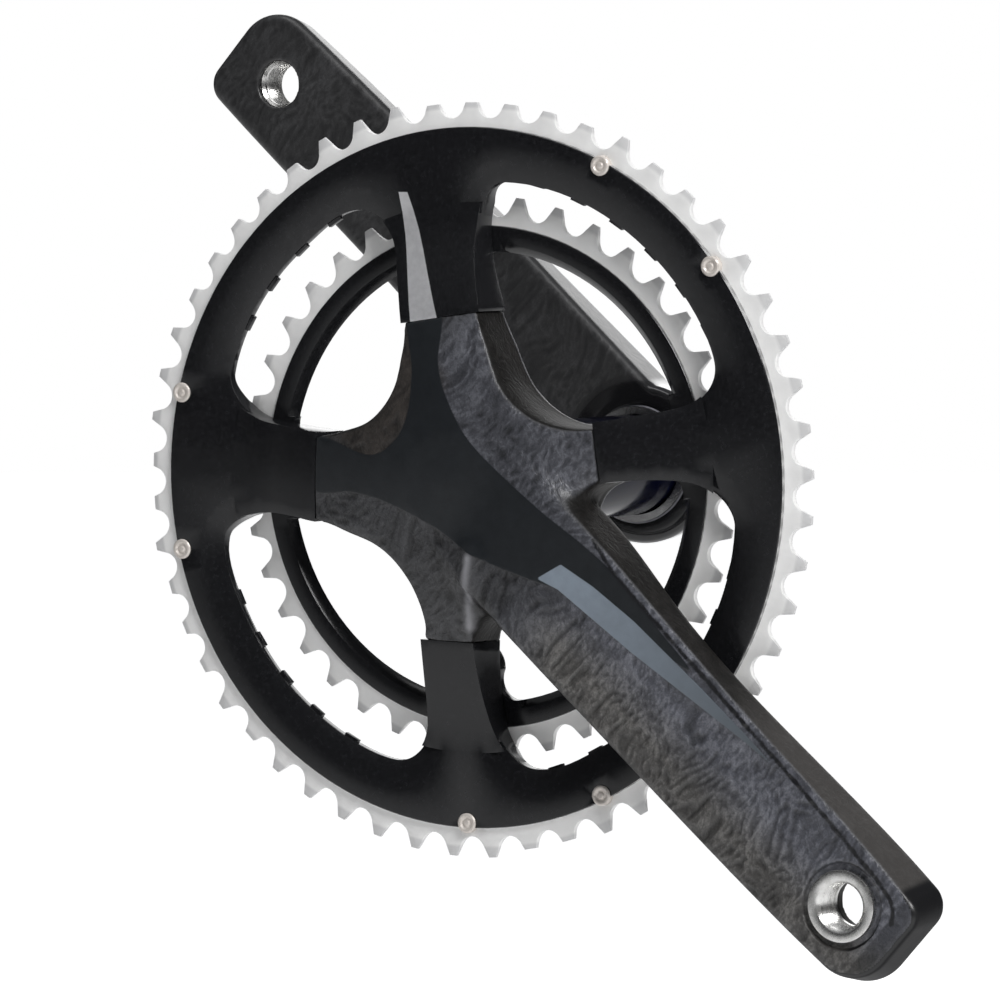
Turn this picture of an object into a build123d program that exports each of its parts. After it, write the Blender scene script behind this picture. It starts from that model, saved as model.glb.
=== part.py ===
"""Two-piece bicycle crankset: hollow composite arms, four-arm spider, two chainrings and a 30 mm spindle.

Units are millimetres.  +X is forward, +Z is up, +Y runs along the spindle from the chainring side to the
left side.  The origin is on the spindle's axis at the middle of the bicycle.
"""
import os
from math import cos, degrees, pi, radians, sin

from build123d import *

# ---- crank arms -----------------------------------------------------------------------------------------
CRANK_LENGTH = 172.5
CRANK_DEG = -41.5                 # direction of the chainring-side arm in the XZ plane
ARM_END = 193.0                   # spindle axis to the tip of an arm
TIP_CORNER_WIDE = 13.8
TIP_CORNER_TIGHT = 5.8
FACE_EDGE_R = 2.4
BACK_EDGE_R = 3.0

# ---- chainring side, positions along Y ------------------------------------------------------------------
HUB_FACE_Y = -64.6                # front of the spider's hub
DRIVE_TIP_FACE_Y = -71.0          # front of the arm at the pedal
DRIVE_TIP_BACK_Y = -57.3
RING_FACE_Y = -50.8               # front of the outer ring's dark face
RING_BACK_Y = -46.8               # back of the outer ring's dark body
ARMS_BACK_Y = -42.8               # back of the spider and of the outer ring's deeper arms
OUTER_TEETH_Y = -49.2             # front of the outer ring's teeth
OUTER_TEETH_THICK = 2.1
INNER_FACE_Y = -42.3              # front of the inner ring
INNER_RING_THICK = 3.6
TAB_FRONT_Y = -50.0               # spider tabs, in pockets of the outer ring's arms
TAB_HALF = 6.9                    # half width of a spider tab
TAB_START_R = 36.0
POCKET_GAP = 0.3
HUB_BACK_Y = -38.0

# ---- left side, positions along Y -----------------------------------------------------------------------
LEFT_COLLAR_Y = 51.0
LEFT_HUB_BACK_Y = 53.0
LEFT_HUB_FACE_Y = 72.0
LEFT_TIP_BACK_Y = 58.9
LEFT_TIP_FACE_Y = 72.3
LEFT_HUB_R = 24.0

# ---- spider and chainrings ------------------------------------------------------------------------------
FRONT_ARM_DEG = 50.6              # spider arms nearest the crank arm, each side of it
BACK_ARM_DEG = 139.6
SPIDER_ARMS = (FRONT_ARM_DEG, BACK_ARM_DEG, -BACK_ARM_DEG, -FRONT_ARM_DEG)
JOINT_R = 46.5                    # where the spider's arms meet the ring's arms
BOLT_CIRCLE_R = 55.0
CHAIN_PITCH = 12.7
ROLLER_R = 3.97
OUTER_TEETH = 53
OUTER_PHASE_DEG = 1.8
OUTER_DARK_R = 100.6
SHORT_TEETH = (7, 8, 10, 11, 12, 13, 14, 18, 19, 20, 21, 22, 26, 27, 29, 30, 31, 33, 41, 42)
INNER_TEETH = 39
INNER_PHASE_DEG = -1.09
INNER_DARK_R = 72.4
INNER_BORE_R = 65.0
INNER_BEVEL = 2.4                 # wide bevel around the inner ring's bore, on its front
SHIFT_PIN_DEG = (38.2, 64.5, 166.6, 193.4, 269.7, 295.9)
SHIFT_PIN_R = 99.2
SHIFT_PIN_RADIUS = 2.9
LUGS_PER_TURN = 39                 # shift lugs on the outer ring's back, left out over its arms
LUG_PHASE_DEG = 2.1
LUG_FREE_DEG = 19.0
LUG_R = 88.2
LUG_LONG = 4.4
LUG_WIDE = 4.7
LUG_TALL = 1.6
GUARD_PIN_R = 96.0                 # chain guard pin behind the crank arm

# ---- spindle, bolt and fasteners ------------------------------------------------------------------------
SPINDLE_R = 15.0
RELIEF_R = 14.6                   # beyond the bearing seat at both ends
SPINDLE_BORE_R = 12.0
SPINDLE_START_Y = -60.0
SPINDLE_END_Y = 65.0
JOURNAL_Y = (-30.0, 46.0)         # bearing seat
RUNNING_GAP = 0.05                # around the seat, for what slides along it
SPLINE_TEETH = 10
SPLINE_TIP_R = 14.2
SPLINE_ROOT_R = 12.9
SPLINE_GAP = 0.05
BOLT_THREAD_R = 9.0
BOLT_GAP = 0.05
PEDAL_BORE_R = 6.5
PEDAL_FLANGE_R = 10.2
PEDAL_BODY_R = 9.0
RING_BOLT_R = 4.0
BUSH_R = 5.4                      # bushes in the spider's tabs, around the ring bolts

os.makedirs("parts", exist_ok=True)


def across(y, turn=0.0):
    """Sketch plane across the spindle, x along the crank arm turned by `turn`, normal towards -Y."""
    a = radians(CRANK_DEG + turn)
    return Plane(origin=(0, y, 0), x_dir=(cos(a), 0, sin(a)), z_dir=(0, -1, 0))


def polar(r, deg):
    return (r * cos(radians(deg)), r * sin(radians(deg)))


def ring(r_out, r_in, y0, y1):
    """Plain ring or disc about the spindle's axis, from y0 to y1."""
    plane = Plane(origin=(0, y0, 0), x_dir=(1, 0, 0), z_dir=(0, 1, 0))
    face = Circle(r_out)
    if r_in > 0:
        face = face - Circle(r_in)
    return extrude(plane * face, amount=y1 - y0)


def turned(points):
    """Solid of revolution about the spindle's axis from (radius, y) points."""
    return revolve(make_face(Polyline([(r, y, 0) for r, y in points] + [(points[0][0], points[0][1], 0)])),
                   Axis.Y)


def disc_at(u, v, r, y0, y1):
    """Disc at (u along the crank, v across it), from y0 to y1."""
    plane = across(max(y0, y1))
    return extrude(plane * Pos(u, v) * Circle(r), amount=abs(y1 - y0))


# ---- crank arm bodies -----------------------------------------------------------------------------------
# Long edges of an arm: distance from the spindle, place of the edge at the back and on the face
HIGH_EDGE = [(-6, 19.6, 15.5), (50, 22.4, 20.6), (71, 22.0, 19.4), (112, 21.1, 17.8), (150, 20.1, 17.6),
             (200, 19.3, 15.8)]
LOW_EDGE = [(-6, -19.6, -18.6), (60, -20.0, -18.5), (107, -20.0, -18.1), (150, -19.9, -17.5),
            (200, -19.6, -16.3)]


def arm_outline(low_edge, high_edge, end, wide, tight):
    """Outline of an arm seen along the spindle, with one wide and one tight corner at the tip."""
    low = low_edge[-1][1]
    high = high_edge[-1][1]
    mid = sin(pi / 4)
    low_run = low_edge[:-1] + [(end - wide, low)]
    high_run = high_edge[:-1] + [(end - tight, high)]
    return make_face([
        Spline(*low_run),
        ThreePointArc((end - wide, low), (end - wide + wide * mid, low + wide - wide * mid), (end, low + wide)),
        Line((end, low + wide), (end, high - tight)),
        ThreePointArc((end, high - tight), (end - tight + tight * mid, high - tight + tight * mid),
                      (end - tight, high)),
        Spline(*reversed(high_run)),
        Line(high_edge[0], low_edge[0]),
    ])


def arm_body(back_line, face_line, near_y, far_y, turn):
    """Arm from its side profile and a plan that narrows from the back (near_y) to the face (far_y)."""
    a = radians(CRANK_DEG + turn)
    side = Plane(origin=(0, 0, 0), x_dir=(cos(a), 0, sin(a)), z_dir=(sin(a), 0, -cos(a)))
    sign = 1 if side.y_dir.Y > 0 else -1
    back = [(u, sign * y) for u, y in back_line]
    face = [(u, sign * y) for u, y in face_line]
    profile = make_face([Spline(*back), Line(back[-1], face[-1]), Spline(*reversed(face)),
                         Line(face[0], back[0])])
    slab = extrude(side * profile, amount=40, both=True)
    ends = (min(y for _, y in back_line + face_line) - 1, max(y for _, y in back_line + face_line) + 1)
    plans = []
    for y in ends:
        t = (y - near_y) / (far_y - near_y)
        low = [(u, b + (f - b) * t) for u, b, f in LOW_EDGE]
        high = [(u, b + (f - b) * t) for u, b, f in HIGH_EDGE]
        plans.append(across(y, turn) * arm_outline(low, high, ARM_END - 0.6 * t, TIP_CORNER_WIDE + 1 - t,
                                                   TIP_CORNER_TIGHT + 1.5 * (1 - t)))
    return slab & loft(plans, ruled=True)


def soften(body, face_line, back_line, turn):
    """Round the long edges of an arm and its tip, on the face and on the back."""
    a = radians(CRANK_DEG + turn)

    def place(p):
        return p.X * cos(a) + p.Z * sin(a), -p.X * sin(a) + p.Z * cos(a)

    def level(line, u):
        for (u0, y0), (u1, y1) in zip(line, line[1:]):
            if u <= u1:
                return y0 + (y1 - y0) * (u - u0) / (u1 - u0)
        return line[-1][1]

    def rim(edge, line):
        u, v = place(edge @ 0.5)
        spots = [edge @ t for t in (0.1, 0.5, 0.9)]
        flush = all(abs(p.Y - level(line, place(p)[0])) < 1.6 for p in spots)
        return flush and u > 20 and (abs(v) > 3 or u > ARM_END - 5)

    body = fillet([e for e in body.edges() if rim(e, face_line)], FACE_EDGE_R)
    return fillet([e for e in body.edges() if rim(e, back_line)], BACK_EDGE_R)


DRIVE_BACK_LINE = [(-6, -46.0), (20, -46.5), (40, -48.2), (58, -51.6), (74, -55.0), (90, -56.9),
                   (115, DRIVE_TIP_BACK_Y), (205, DRIVE_TIP_BACK_Y)]
DRIVE_FACE_LINE = [(-6, -61.0), (8, -63.6), (26, -65.3), (60, -66.9), (120, -69.2), (205, -72.2)]
LEFT_BACK_LINE = [(-6, LEFT_HUB_BACK_Y), (20, 53.1), (45, 54.6), (70, 56.9), (95, 58.5), (120, LEFT_TIP_BACK_Y),
                  (205, LEFT_TIP_BACK_Y)]
LEFT_FACE_LINE = [(-6, LEFT_HUB_FACE_Y), (60, LEFT_HUB_FACE_Y), (130, 72.2), (205, LEFT_TIP_FACE_Y)]


# ---- spider ---------------------------------------------------------------------------------------------
# Half of the spider's outline at its back: angle from the crank arm and radius
SPIDER_HALF = [(0, 41), (22, 40), (37, 42), (41.5, 48), (44, 55), (50.6, 58), (57.5, 55), (60.5, 48),
               (63.5, 41.5), (71, 35), (84, 31.4), (101, 32.6), (114, 39.5), (122.5, 47.5), (127.5, 55),
               (139.6, 58), (148.5, 55.5), (152.5, 47.5), (158.5, 39.5), (168, 33.0)]


def spider_loop(inset):
    """Closed outline, moved inwards by `inset`, as a sketch face in the crank's frame."""
    half = [polar(r, a) for a, r in SPIDER_HALF]
    points = half + [polar(31.2, 180)] + [(x, -y) for x, y in reversed(half[1:])]
    moved = []
    n = len(points)
    for i in range(n):
        x0, y0 = points[i - 1]
        x1, y1 = points[(i + 1) % n]
        dx, dy = x1 - x0, y1 - y0
        length = (dx * dx + dy * dy) ** 0.5
        x, y = points[i]
        moved.append((x - inset * dy / length, y + inset * dx / length))
    return make_face(Spline(moved, periodic=True))


def spider_body():
    """Lofted star with a domed front and flat ends where the ring's arms begin."""
    levels = [(ARMS_BACK_Y, 0.0), (-52.0, 0.1), (-58.0, 0.3), (-62.0, 1.0), (-66.0, 2.4)]
    star = loft([across(y) * spider_loop(inset) for y, inset in levels])
    dome = turned([(0, ARMS_BACK_Y), (0, HUB_FACE_Y), (14, -64.2), (26, -62.9), (36, -61.1), (JOINT_R, -58.8),
                   (60, -55.4), (60, ARMS_BACK_Y)])
    star = star & dome
    for a in SPIDER_ARMS:
        beyond = across(-40, a) * Pos(JOINT_R + 20, 0) * Rectangle(40, 60)
        star = star - extrude(beyond, amount=30)
    return star


def tab_face(half_width, reach, start):
    """Plan of one tab along x, ending in a round of its half width about the bolt."""
    strip = Pos((start + reach) / 2, 0) * Rectangle(reach - start, 2 * half_width)
    return strip + Pos(reach, 0) * Circle(half_width)


def spider_tabs(back_y, half_width):
    body = None
    for a in SPIDER_ARMS:
        face = tab_face(half_width, BOLT_CIRCLE_R, TAB_START_R)
        tab = extrude(across(back_y, a) * face, amount=back_y - TAB_FRONT_Y)
        body = tab if body is None else body + tab
    return body


def drive_crank_arm():
    arm = arm_body(DRIVE_BACK_LINE, DRIVE_FACE_LINE, DRIVE_TIP_BACK_Y, DRIVE_TIP_FACE_Y, 0)
    body = soften(arm, DRIVE_FACE_LINE, DRIVE_BACK_LINE, 0) + spider_body()
    body = body + ring(LEFT_HUB_R, 0, -47.0, HUB_BACK_Y)
    body = body + spider_tabs(INNER_FACE_Y, TAB_HALF)
    for a in SPIDER_ARMS:
        body = body - extrude(across(-30, a) * Pos(BOLT_CIRCLE_R, 0) * Circle(BUSH_R), amount=25)
    body = body - ring(18.0, 0, -60.5, HUB_BACK_Y + 1)
    seat = disc_at(CRANK_LENGTH, 0, PEDAL_BODY_R, -80, DRIVE_TIP_BACK_Y - 1.5)
    mouth = disc_at(CRANK_LENGTH, 0, PEDAL_FLANGE_R + 2.0, -80, DRIVE_TIP_FACE_Y + 1.5)
    back = disc_at(CRANK_LENGTH, 0, 7.2, -70, -50)
    return body - seat - mouth - back


def pedal_insert(back_y, face_y, turn=0.0):
    """Flanged bush with the pedal's thread drawn as a plain bore, chamfered at both ends."""
    out = -1 if face_y < back_y else 1
    long = abs(face_y - back_y) - 1.5
    profile = [(PEDAL_BORE_R + 0.9, 0), (PEDAL_FLANGE_R - 0.4, 0), (PEDAL_FLANGE_R, -0.4),
               (PEDAL_FLANGE_R, -1.9), (PEDAL_BODY_R, -1.9), (PEDAL_BODY_R, -long),
               (PEDAL_BORE_R + 0.9, -long), (PEDAL_BORE_R, 0.9 - long), (PEDAL_BORE_R, -0.9)]
    face = make_face(Polyline([(r, face_y + out * (h + 0.4), 0) for r, h in profile + profile[:1]]))
    body = revolve(face, Axis.Y)
    a = radians(CRANK_DEG + turn)
    return Pos(CRANK_LENGTH * cos(a), 0, CRANK_LENGTH * sin(a)) * body


# ---- chainrings -----------------------------------------------------------------------------------------
def tooth_outline(teeth, phase, tall, short, short_set):
    """Sprocket outline in world X and Z: roller seats joined by straight flanks and flat tips."""
    pitch_r = CHAIN_PITCH / (2 * sin(pi / teeth))
    step = 360 / teeth
    seat_r = ROLLER_R + 0.05
    spread = radians(62)
    edges = []
    for k in range(teeth):
        gap = radians(phase + (k + 0.5) * step)
        cx, cz = pitch_r * cos(gap), pitch_r * sin(gap)
        ends = []
        for s in (-1, 0, 1):
            w = gap + pi - s * spread
            ends.append((cx + seat_r * cos(w), cz + seat_r * sin(w)))
        edges.append((ends, k))
    lines = []
    for i in range(teeth):
        (a, m, b), k = edges[i]
        nxt = edges[(i + 1) % teeth][0]
        tooth = (k + 1) % teeth
        tip_r = short if tooth in short_set else tall
        mid = phase + tooth * step
        lean = degrees((1.9 if tooth in short_set else 1.15) / tip_r)
        p, q = polar(tip_r, mid - lean), polar(tip_r, mid + lean)
        lines += [ThreePointArc(a, m, b), Line(b, p), Line(p, q), Line(q, nxt[0])]
    return make_face(lines)


def world_plane(y):
    """Sketch plane across the spindle with x along +X and y along +Z, normal towards -Y."""
    return Plane(origin=(0, y, 0), x_dir=(1, 0, 0), z_dir=(0, -1, 0))


# Window outlines by angle from the crank arm and radius, each run once round
SIDE_WINDOW = [(124.6, 85.4), (113, 86.6), (100, 87.0), (88, 87.0), (76, 86.8), (67.5, 86.2), (63.2, 84.6),
               (60.6, 81.0), (59.2, 76.5), (59.0, 70), (60.4, 58), (63.0, 46), (80, 30), (112, 30),
               (121.5, 46), (126.3, 57), (128.6, 66), (129.0, 74), (128.2, 80.0), (126.8, 83.6)]
BACK_WINDOW = [(202.0, 85.6), (191, 86.8), (180, 87.0), (169, 86.8), (158.0, 85.6), (155.0, 83.0),
               (152.6, 78.5), (151.3, 73), (151.4, 65), (152.4, 56), (154, 46), (165, 30), (195, 30),
               (206, 46), (207.6, 56), (208.6, 65), (208.7, 73), (207.4, 78.5), (205.0, 83.0)]
FRONT_WINDOW = [(33.5, 85.8), (22, 86.8), (8, 87.0), (-8, 87.0), (-22, 86.8), (-33.5, 85.8), (-36.8, 83.6),
                (-39.4, 79.6), (-41.2, 75.0), (-42.2, 69.0), (-42.4, 58), (-41, 46), (-25, 30), (25, 30),
                (41, 46), (42.4, 58), (42.2, 69.0), (41.2, 75.0), (39.4, 79.6), (36.8, 83.6)]


def window_face(outline, mirror=False, grow=0.0):
    sign = -1 if mirror else 1
    points = [polar(r, sign * a) for a, r in outline]
    if grow:
        points = grown(points, grow)
    if mirror:
        points = list(reversed(points))
    return make_face(Spline(points, periodic=True))


def grown(points, grow):
    """Move a closed run of points outwards by `grow`."""
    n = len(points)
    area = sum(points[i - 1][0] * points[i][1] - points[i][0] * points[i - 1][1] for i in range(n))
    way = 1 if area > 0 else -1
    moved = []
    for i in range(n):
        x0, y0 = points[i - 1]
        x1, y1 = points[(i + 1) % n]
        dx, dy = x1 - x0, y1 - y0
        length = (dx * dx + dy * dy) ** 0.5
        x, y = points[i]
        moved.append((x + way * grow * dy / length, y - way * grow * dx / length))
    return moved


WINDOWS = ((SIDE_WINDOW, False), (SIDE_WINDOW, True), (BACK_WINDOW, False), (FRONT_WINDOW, False))


def outer_chainring():
    dark = turned([(40, ARMS_BACK_Y), (40, -60.2), (JOINT_R, -58.8), (52, -57.5), (60, -55.2), (67, -53.0),
                   (73, -51.5), (79, RING_FACE_Y), (OUTER_DARK_R - 0.3, RING_FACE_Y),
                   (OUTER_DARK_R, RING_FACE_Y + 0.3), (OUTER_DARK_R, OUTER_TEETH_Y + 0.2), (97, RING_BACK_Y),
                   (86, RING_BACK_Y), (79, ARMS_BACK_Y)])
    for outline, mirror in WINDOWS:
        dark = dark - extrude(across(-40) * window_face(outline, mirror), amount=25)
    for a in SPIDER_ARMS:
        inside = across(-40, a) * Pos(JOINT_R - 12, 0) * Rectangle(24, 44)
        dark = dark - extrude(inside, amount=25)
    dark = dark - spider_tabs(ARMS_BACK_Y + 1, TAB_HALF + POCKET_GAP)
    teeth_back = OUTER_TEETH_Y + OUTER_TEETH_THICK
    teeth = extrude(world_plane(teeth_back)
                    * tooth_outline(OUTER_TEETH, OUTER_PHASE_DEG, 109.2, 107.6, SHORT_TEETH),
                    amount=OUTER_TEETH_THICK)
    bevel = turned([(94, OUTER_TEETH_Y), (104.4, OUTER_TEETH_Y), (109.6, OUTER_TEETH_Y + 0.65),
                    (109.6, teeth_back - 0.65), (104.4, teeth_back), (94, teeth_back)])
    body = dark + (teeth & bevel)
    for outline, mirror in WINDOWS:
        low = across(RING_FACE_Y + 1.5) * window_face(outline, mirror)
        high = across(RING_FACE_Y) * window_face(outline, mirror, 7.0)
        cone = loft([low, high]) & ring(120, 76, -60, -40)
        body = body - cone
    for a in SPIDER_ARMS:
        socket = extrude(across(-40, a) * Pos(BOLT_CIRCLE_R, 0) * Circle(RING_BOLT_R), amount=15.0)
        body = body - socket
    for k in range(LUGS_PER_TURN):
        rel = (LUG_PHASE_DEG + k * 360 / LUGS_PER_TURN - CRANK_DEG + 180) % 360 - 180
        if min(abs(rel - arm) for arm in SPIDER_ARMS) > LUG_FREE_DEG:
            lug = Pos(LUG_R, 0) * Rectangle(LUG_LONG, LUG_WIDE)
            body = body + extrude(across(RING_BACK_Y, rel) * lug, amount=LUG_TALL)
    for a in SHIFT_PIN_DEG:
        hole = Pos(*polar(SHIFT_PIN_R, a)) * Circle(SHIFT_PIN_RADIUS)
        body = body - extrude(world_plane(-40) * hole, amount=20)
    pin = extrude(across(-40) * Pos(GUARD_PIN_R, 0) * Circle(2.0), amount=20)
    return body - pin


def shift_pins():
    """Six riveted pins through the outer ring: raised rim, dished centre, foot at the back."""
    profile = [(0, -46.0), (SHIFT_PIN_RADIUS - 0.3, -46.0), (SHIFT_PIN_RADIUS, -46.3),
               (SHIFT_PIN_RADIUS, -51.1), (SHIFT_PIN_RADIUS - 0.4, -51.4), (2.0, -51.4), (1.5, -51.0),
               (1.1, -51.0), (0.7, -51.3), (0, -51.3)]
    pin = turned(profile)
    return [Pos(SHIFT_PIN_R * cos(radians(a)), 0, SHIFT_PIN_R * sin(radians(a))) * pin for a in SHIFT_PIN_DEG]


def inner_chainring():
    back = INNER_FACE_Y + INNER_RING_THICK
    body = turned([(INNER_BORE_R + INNER_BEVEL, INNER_FACE_Y), (INNER_DARK_R - 0.3, INNER_FACE_Y),
                   (INNER_DARK_R, INNER_FACE_Y + 0.3), (INNER_DARK_R, back - 0.3), (INNER_DARK_R - 0.3, back),
                   (INNER_BORE_R + 0.8, back), (INNER_BORE_R, back - 0.8)])
    front = INNER_FACE_Y + 0.8
    teeth = extrude(world_plane(front + 2.1) * tooth_outline(INNER_TEETH, INNER_PHASE_DEG, 80.9, 80.0, ()),
                    amount=2.1)
    bevel = turned([(70, front), (76.2, front), (81.5, front + 0.65), (81.5, front + 1.45), (76.2, front + 2.1),
                    (70, front + 2.1)])
    body = body + (teeth & bevel)
    for a in SPIDER_ARMS:
        face = tab_face(7.5, BOLT_CIRCLE_R, BOLT_CIRCLE_R)
        flare = Pos(63.5, 0) * Rectangle(9, 30)
        notch = Pos(57.6, 13.0) * Circle(6.0) + Pos(57.6, -13.0) * Circle(6.0)
        neck = Pos(59, 0) * Rectangle(9, 15)
        plan = (face + neck + flare - notch) & Circle(INNER_BORE_R + INNER_BEVEL)
        hole = Pos(BOLT_CIRCLE_R, 0) * Circle(RING_BOLT_R + RUNNING_GAP)
        body = body + extrude(across(back, a) * (plan - hole), amount=INNER_RING_THICK)
        body = body - extrude(across(back + 1, a) * hole, amount=9)
    return body


def ring_bolt(a):
    """Bolt from behind into the outer ring's blind thread, with a star socket in its head."""
    back = INNER_FACE_Y + INNER_RING_THICK
    shank = Pos(BOLT_CIRCLE_R, 0) * Circle(RING_BOLT_R - RUNNING_GAP)
    body = extrude(across(back, a) * shank, amount=back + 54.6)
    head = extrude(across(back + 2.2, a) * Pos(BOLT_CIRCLE_R, 0) * Circle(6.2), amount=2.2)
    star = Circle(2.0)
    for k in range(6):
        star = star + Rot(0, 0, 60 * k) * Pos(2.0, 0) * Circle(0.75)
    socket = extrude(across(back + 2.2, a) * Pos(BOLT_CIRCLE_R, 0) * star, amount=3.5)
    head_edges = head.edges().filter_by(GeomType.CIRCLE).sort_by(Axis.Y)
    head = chamfer(head_edges[-1], 0.5)
    return body + head - socket


def tab_bushes():
    wall = Circle(BUSH_R) - Circle(RING_BOLT_R + RUNNING_GAP)
    length = INNER_FACE_Y - TAB_FRONT_Y
    return [extrude(across(INNER_FACE_Y, a) * Pos(BOLT_CIRCLE_R, 0) * wall, amount=length) for a in SPIDER_ARMS]


def chain_guard_pin():
    """Peg on the outer ring behind the crank arm that stops the chain falling between them."""
    stem = disc_at(GUARD_PIN_R, 0, 2.0, -47.2, -56.0)
    head = disc_at(GUARD_PIN_R, 0, 2.9, RING_FACE_Y, -56.2)
    head = chamfer(head.edges().filter_by(GeomType.CIRCLE).sort_by(Axis.Y)[0], 0.6)
    return stem + head


# ---- spindle and its fittings ---------------------------------------------------------------------------
def spline_face(gap):
    """Spline section: flat-topped teeth on a round root, all grown by `gap`."""
    points = []
    step = 360 / SPLINE_TEETH
    tip, root = SPLINE_TIP_R + gap, SPLINE_ROOT_R + gap
    add = degrees(gap / SPLINE_ROOT_R)
    for k in range(SPLINE_TEETH):
        c = k * step
        points += [polar(root, c - 11.5 - add), polar(tip, c - 8.0 - add), polar(tip, c + 8.0 + add),
                   polar(root, c + 11.5 + add)]
    return make_face(Polyline(points + points[:1]))


def spindle():
    start, end = JOURNAL_Y
    body = turned([(SPINDLE_BORE_R, SPINDLE_START_Y), (RELIEF_R - 0.6, SPINDLE_START_Y),
                   (RELIEF_R, SPINDLE_START_Y + 0.6), (RELIEF_R, start - 0.4), (SPINDLE_R, start),
                   (SPINDLE_R, end), (RELIEF_R, end + 0.4), (RELIEF_R, LEFT_COLLAR_Y - 0.2),
                   (SPLINE_ROOT_R - 0.4, LEFT_COLLAR_Y + 0.4), (BOLT_THREAD_R + BOLT_GAP, LEFT_COLLAR_Y + 0.4),
                   (BOLT_THREAD_R + BOLT_GAP, 48.0), (SPINDLE_BORE_R, 45.0)])
    plane = Plane(origin=(0, LEFT_COLLAR_Y, 0), x_dir=(1, 0, 0), z_dir=(0, 1, 0))
    spline = extrude(plane * (spline_face(0) - Circle(BOLT_THREAD_R + BOLT_GAP)),
                     amount=SPINDLE_END_Y - LEFT_COLLAR_Y)
    trim = turned([(0, LEFT_COLLAR_Y - 1), (20, LEFT_COLLAR_Y - 1), (20, SPINDLE_END_Y - 3),
                   (SPLINE_TIP_R - 1.2, SPINDLE_END_Y), (0, SPINDLE_END_Y)])
    return body + (spline & trim)


def spindle_socket():
    """Alloy bush bonded into the spider's hub around the spindle, with the bearing's shoulder."""
    return turned([(RELIEF_R, -60.0), (17.2, -60.0), (18.0, -59.2), (18.0, HUB_BACK_Y), (20.0, HUB_BACK_Y),
                   (20.0, -36.8), (19.4, -36.2), (RELIEF_R, -36.2)])


def spindle_plug():
    """Thin disc that closes the drive end of the hollow spindle."""
    return turned([(0, -59.8), (SPINDLE_BORE_R - 0.4, -59.8), (SPINDLE_BORE_R, -59.4), (SPINDLE_BORE_R, -57.4),
                   (0, -57.4)])


def bearing_seal():
    """Lipped seal that rides on the spindle against the drive-side shoulder."""
    bore = SPINDLE_R + RUNNING_GAP
    return turned([(bore, -35.9), (21.5, -35.9), (21.5, -34.6), (19.2, -34.2), (18.6, -33.6), (bore, -33.6)])


def wave_washer():
    """Thin preload spring ring against the left arm's collar."""
    return ring(17.3, SPINDLE_R + 3 * RUNNING_GAP, 50.1, 50.9)


def left_spline_insert():
    """Alloy bush bonded into the left arm's hub, splined for the spindle and open for the bolt."""
    body = turned([(0, LEFT_COLLAR_Y), (17.4, LEFT_COLLAR_Y), (17.8, LEFT_COLLAR_Y + 0.4),
                   (17.8, LEFT_HUB_BACK_Y + 0.5), (17.0, LEFT_HUB_BACK_Y + 0.5), (17.0, 72.0), (0, 72.0)])
    plane = Plane(origin=(0, LEFT_COLLAR_Y - 1, 0), x_dir=(1, 0, 0), z_dir=(0, 1, 0))
    bore = extrude(plane * spline_face(SPLINE_GAP), amount=66.0 - LEFT_COLLAR_Y + 1)
    entry = turned([(0, LEFT_COLLAR_Y - 1), (RELIEF_R + 0.3, LEFT_COLLAR_Y - 1),
                    (RELIEF_R + 0.3, LEFT_COLLAR_Y + 0.3), (SPLINE_ROOT_R, LEFT_COLLAR_Y + 1.8),
                    (0, LEFT_COLLAR_Y + 1.8)])
    shank = ring(BOLT_THREAD_R + 0.5, 0, 60.0, 75.0)
    well = ring(14.0, 0, 67.2, 75.0)
    return body - bore - entry - shank - well


def left_crank_arm():
    body = arm_body(LEFT_BACK_LINE, LEFT_FACE_LINE, LEFT_TIP_BACK_Y, LEFT_TIP_FACE_Y, 180)
    body = soften(body, LEFT_FACE_LINE, LEFT_BACK_LINE, 180)
    hub = turned([(0, LEFT_HUB_BACK_Y), (21.0, LEFT_HUB_BACK_Y), (23.1, LEFT_HUB_BACK_Y + 0.7),
                  (LEFT_HUB_R, LEFT_HUB_BACK_Y + 2.6), (LEFT_HUB_R - 0.4, 60), (22.2, 69.6),
                  (20.4, 71.5), (18.0, LEFT_HUB_FACE_Y), (0, LEFT_HUB_FACE_Y)])
    body = body + hub
    body = body - ring(17.8, 0, 40.0, LEFT_HUB_BACK_Y + 0.5)
    body = body - ring(17.0, 0, 40.0, 80.0)
    seat = pedal_hole(PEDAL_BODY_R, LEFT_TIP_BACK_Y + 1.5, 80)
    mouth = pedal_hole(PEDAL_FLANGE_R + 2.0, LEFT_TIP_FACE_Y - 1.5, 80)
    back = pedal_hole(7.2, 50, 70)
    return body - seat - mouth - back


def pedal_hole(r, y0, y1):
    a = radians(CRANK_DEG + 180)
    return Pos(CRANK_LENGTH * cos(a), 0, CRANK_LENGTH * sin(a)) * ring(r, 0, y0, y1)


def crank_bolt():
    """Self-extracting bolt: threaded shank drawn plain, flange, and a 10 mm hexagon socket."""
    body = turned([(0, 50.0), (BOLT_THREAD_R - 1.0, 50.0), (BOLT_THREAD_R, 51.0), (BOLT_THREAD_R, 67.0),
                   (BOLT_THREAD_R, 68.2), (12.6, 68.2), (12.6, 69.4), (12.2, 69.8), (7.4, 69.8),
                   (7.4, 71.4), (7.0, 71.8), (0, 71.8)])
    plane = Plane(origin=(0, 73.0, 0), x_dir=(1, 0, 0), z_dir=(0, -1, 0))
    socket = extrude(plane * RegularPolygon(5.0 / cos(pi / 6), 6), amount=11)
    return body - socket


def bolt_washer():
    return ring(12.8, BOLT_THREAD_R + 0.2, 67.25, 68.15)


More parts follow.
